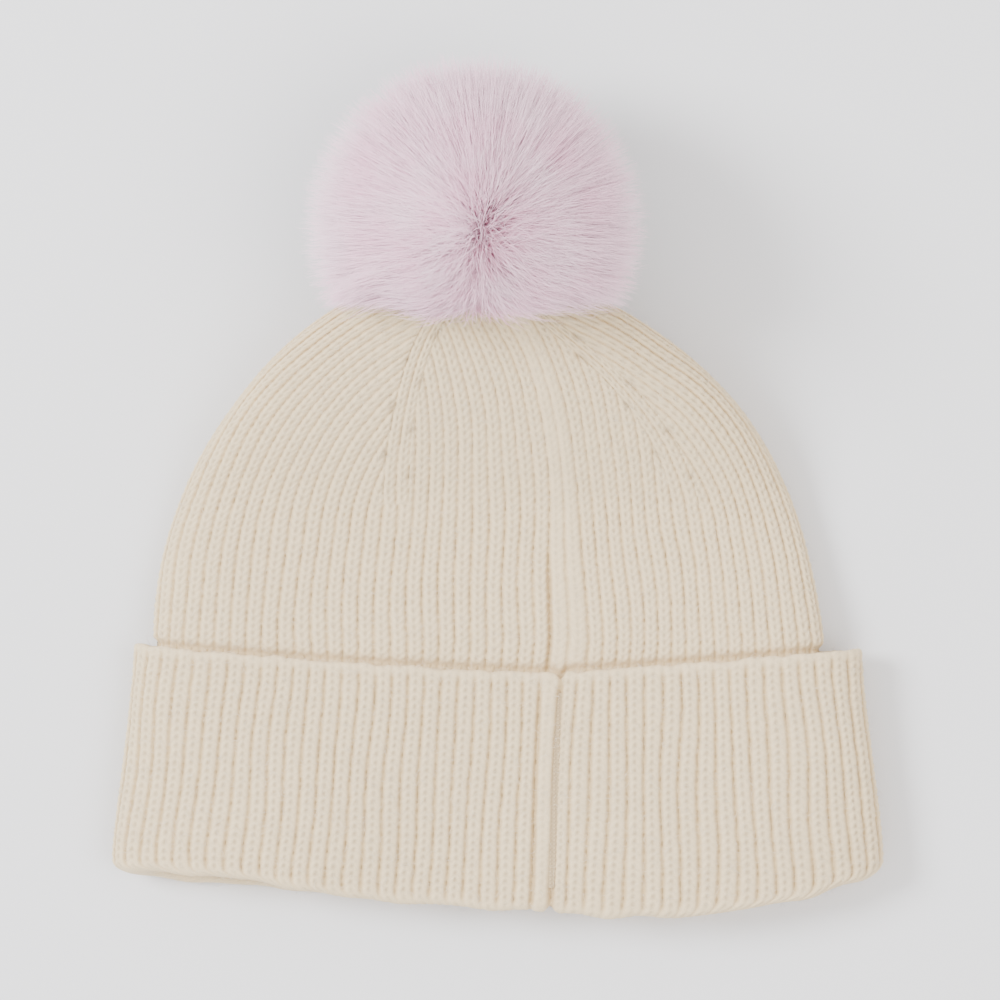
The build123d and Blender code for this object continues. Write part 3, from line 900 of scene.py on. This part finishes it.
def knit_paint():
    paint = Paint("cream_rib_knit", 0.92)
    furrow = paint.attribute("furrow")
    pit = paint.attribute("pit")
    # Painted shade: where the furrow mask is high, the knit is painted a darker ochre.
    shade = paint.range(furrow, 0.12, 1.0, 0.0, 0.8)
    colour = paint.blend(shade, srgb(229, 206, 166), srgb(190, 160, 113))
    # Painted shade: the hollow of each stitch and each eyelet is painted a darker grey-brown.
    pit_shade = paint.maths("MULTIPLY", pit, 0.42)
    colour = paint.blend(pit_shade, colour, srgb(140, 122, 98))
    mottle = paint.range(paint.noise(4.0, 4.0), 0.3, 0.7, 0.955, 1.03)
    flecks = paint.range(paint.noise(0.5, 2.0), 0.3, 0.7, 0.95, 1.05)
    broad = paint.range(paint.noise(60.0, 2.0), 0.3, 0.7, 0.975, 1.02)
    uneven = paint.maths("MULTIPLY", paint.maths("MULTIPLY", mottle, flecks), broad)
    paint.colour(paint.blend(1.0, colour, grey(paint, uneven), "MULTIPLY"))
    paint.bump(paint.noise(0.45, 4.0, 0.7), 0.16, 0.7)
    paint.sheen(0.25, 0.5, srgb(255, 250, 240))
    return paint.material


def fur_paint(name, root, tip):
    paint = Paint(name, 0.7)
    along = paint.attribute("along")
    tone = paint.attribute("tone")
    # Painted shade: each strand is a deeper, darker colour towards its root, deep among the
    # strands.
    from_root = paint.maths("ADD", along, paint.range(tone, 0.0, 1.0, -0.3, 0.12))
    colour = paint.blend(paint.range(from_root, 0.0, 0.8, 0.0, 1.0), root, tip)
    patches = paint.range(paint.noise(16.0, 2.0), 0.4, 0.7, 0.0, 0.35)
    colour = paint.blend(patches, colour, root)
    light = paint.range(paint.noise(9.0, 2.0), 0.3, 0.7, 0.96, 1.03)
    paint.colour(paint.blend(1.0, colour, grey(paint, light), "MULTIPLY"))
    paint.sheen(0.6, 0.4, srgb(255, 238, 245))
    return paint.material


def plain_knit_paint(name, colour, stitch):
    """A fine knit or a row of stitches, stitch millimetres wide."""
    paint = Paint(name, 0.9)
    loops = paint.wave(stitch, "X", 0.6)
    rows = paint.wave(stitch, "Y", 0.6)
    relief = paint.maths("MULTIPLY", loops, rows)
    # Painted shade: the stitches' hollows are painted darker, following the relief.
    dark = tuple(0.72 * c for c in colour[:3]) + (1.0,)
    paint.colour(paint.blend(relief, dark, colour))
    paint.bump(relief, 0.3)
    paint.sheen(0.2, 0.5, colour)
    return paint.material


def thread_paint(name, colour):
    """Twisted thread: slanting plies and a little fluff."""
    paint = Paint(name, 0.75)
    plies = paint.wave(0.7, "DIAGONAL", 0.8)
    # Painted shade: the grooves between plies are painted darker.
    dark = tuple(0.75 * c for c in colour[:3]) + (1.0,)
    paint.colour(paint.blend(plies, dark, colour))
    relief = paint.maths("ADD", plies, paint.noise(0.3))
    paint.bump(relief, 0.12)
    paint.sheen(0.15, 0.4, colour)
    return paint.material


def label_paint():
    """Satin woven tape with no lettering."""
    paint = Paint("plain_woven_label", 0.45)
    weft = paint.wave(0.35, "Y", 0.2)
    warp = paint.wave(0.5, "X", 0.3)
    weave = paint.maths("MULTIPLY", weft, warp)
    # Painted shade: where the weave dips between threads, the tape is painted darker.
    paint.colour(paint.blend(weave, srgb(222, 216, 206), srgb(246, 243, 238)))
    paint.bump(weave, 0.05)
    paint.shader.inputs["Sheen Weight"].default_value = 0.3
    return paint.material


def plastic_paint(name, colour):
    """Moulded plastic with faint flow marks and fine scuffs."""
    paint = Paint(name, 0.35)
    flow = paint.noise(6.0, 3.0)
    pale = tuple(min(1.0, 1.06 * c) for c in colour[:3]) + (1.0,)
    paint.colour(paint.blend(flow, colour, pale))
    scuffs = paint.noise(0.6, 4.0)
    paint.join(paint.range(scuffs, 0.3, 0.7, 0.28, 0.46), paint.shader.inputs["Roughness"])
    paint.bump(scuffs, 0.01)
    return paint.material


def filling_paint():
    """White fibre filling."""
    paint = Paint("white_fibre_filling", 0.95)
    tufts = paint.noise(2.5, 6.0, 0.7)
    # Painted shade: between the tufts the filling is painted darker.
    paint.colour(paint.blend(tufts, srgb(216, 212, 208), srgb(250, 248, 246)))
    paint.bump(tufts, 1.0)
    paint.sheen(0.3, 0.6, srgb(255, 255, 255))
    return paint.material


# ---------------------------------------------------------------- the floor, lights and camera
VIEW_WIDTH = 0.307         # metres across the picture, at the height of the cuff's top
VIEW_CENTRE = (0.0006, -0.0028)
CAMERA_HEIGHT = 2.0


def make_stage():
    mesh = bpy.data.meshes.new("floor")
    corners = [(-4, -4, -0.0004), (4, -4, -0.0004), (4, 4, -0.0004), (-4, 4, -0.0004)]
    mesh.from_pydata(corners, [], [(0, 1, 2, 3)])
    floor = bpy.data.objects.new("floor", mesh)
    bpy.context.scene.collection.objects.link(floor)
    paint = Paint("pale_floor", 0.9)
    tint = paint.range(paint.noise(300.0, 1.0), 0.3, 0.7, 0.985, 1.01)
    paint.colour(paint.blend(1.0, srgb(231, 230, 232), grey(paint, tint), "MULTIPLY"))
    floor.data.materials.append(paint.material)

    world = bpy.data.worlds.new("studio")
    bpy.context.scene.world = world
    world.use_nodes = True
    background = world.node_tree.nodes["Background"]
    background.inputs["Color"].default_value = (1.0, 0.985, 0.968, 1)
    background.inputs["Strength"].default_value = 1.62

    def lamp(name, place, size, power, colour):
        light = bpy.data.lights.new(name, "AREA")
        light.color = colour
        light.shape = "DISK"
        light.size = size
        light.energy = power
        holder = bpy.data.objects.new(name, light)
        bpy.context.scene.collection.objects.link(holder)
        holder.location = place
        direction = -holder.location
        holder.rotation_mode = "QUATERNION"
        holder.rotation_quaternion = direction.to_track_quat("-Z", "Y")

    lamp("key_light", (-1.7, 0.5, 1.7), 1.0, 94, (0.93, 0.97, 1.0))
    lamp("fill_light", (1.2, -0.3, 2.4), 1.8, 34, (1.0, 1.0, 1.0))

    camera = bpy.data.objects.new("camera", bpy.data.cameras.new("camera"))
    bpy.context.scene.collection.objects.link(camera)
    camera.location = (*VIEW_CENTRE, CAMERA_HEIGHT)
    level = CAMERA_HEIGHT - CUFF_TOP * MM
    camera.data.sensor_width = 36.0
    camera.data.lens = 36.0 * level / VIEW_WIDTH
    camera.data.clip_start = 0.05
    camera.data.clip_end = 50.0
    bpy.context.scene.camera = camera


# ---------------------------------------------------------------- everything together
make_stage()
knit = knit_paint()
crown = make_crown()
cuff = make_cuff()
crown_fuzz = make_fuzz("crown_fuzz", crown, 9000, 71, "body")
cuff_fuzz = make_fuzz("cuff_fuzz", cuff, 9000, 72, "cuff")
fuzz = fur_paint("cream_fuzz", srgb(236, 220, 194), srgb(246, 234, 214))
for piece in (crown, cuff):
    piece.data.materials.append(knit)
for piece in (crown_fuzz, cuff_fuzz):
    piece.data.materials.append(fuzz)

short_fur = fur_paint("pink_short_fur", srgb(255, 164, 200), srgb(255, 208, 227))
whorl_fur = fur_paint("pink_whorl_fur", srgb(255, 172, 205), srgb(255, 224, 236))
long_fur = fur_paint("pink_long_fur", srgb(255, 172, 206), srgb(255, 221, 234))
under = make_fur("fur_underlayer", 18000, 31, (0.62, 0.9), 0.17, 16, 1500, (0.1, 0.4))
under.data.materials.append(short_fur)
whorl = make_fur("fur_whorl", 44000, 37, (0.82, 0.98), 0.14, 13, 900, (0.1, 0.45), cap=32.0)
whorl.data.materials.append(whorl_fur)
for i in range(3):
    part = make_fur(f"fur_layer_{i + 1}", 20000, 41 + i, (0.82, 1.045), 0.12, 34,
                    420 + 300 * i, (0.15, 0.6))
    part.data.materials.append(long_fur)

backing = make_backing()
backing.data.materials.append(plain_knit_paint("pink_backing", srgb(232, 176, 196), 1.6))

small_parts = {
    "crown_seam_thread": plain_knit_paint("cream_seam_stitches", srgb(226, 206, 174), 1.2),
    "cuff_seam_thread": plain_knit_paint("cuff_seam_stitches", srgb(206, 180, 140), 1.2),
    "crown_gather_thread": thread_paint("cream_gather_thread", srgb(228, 212, 184)),
    "care_label": label_paint(),
    "care_label_stitches": thread_paint("label_bartacks", srgb(236, 228, 212)),
    "anchor_button": plastic_paint("button_plastic", srgb(236, 228, 214)),
    "tie_cord": thread_paint("white_tie_cord", srgb(242, 240, 236)),
    "tie_knot": thread_paint("white_tie_knot", srgb(242, 240, 236)),
    "pom_toggle": plastic_paint("toggle_plastic", srgb(240, 206, 218)),
    "pom_gather_thread": thread_paint("pink_gather_thread", srgb(236, 184, 204)),
    "fibre_fill": filling_paint(),
}
for node, paint in small_parts.items():
    made = frame["nodes"][node]
    made.data.materials.clear()
    made.data.materials.append(paint)
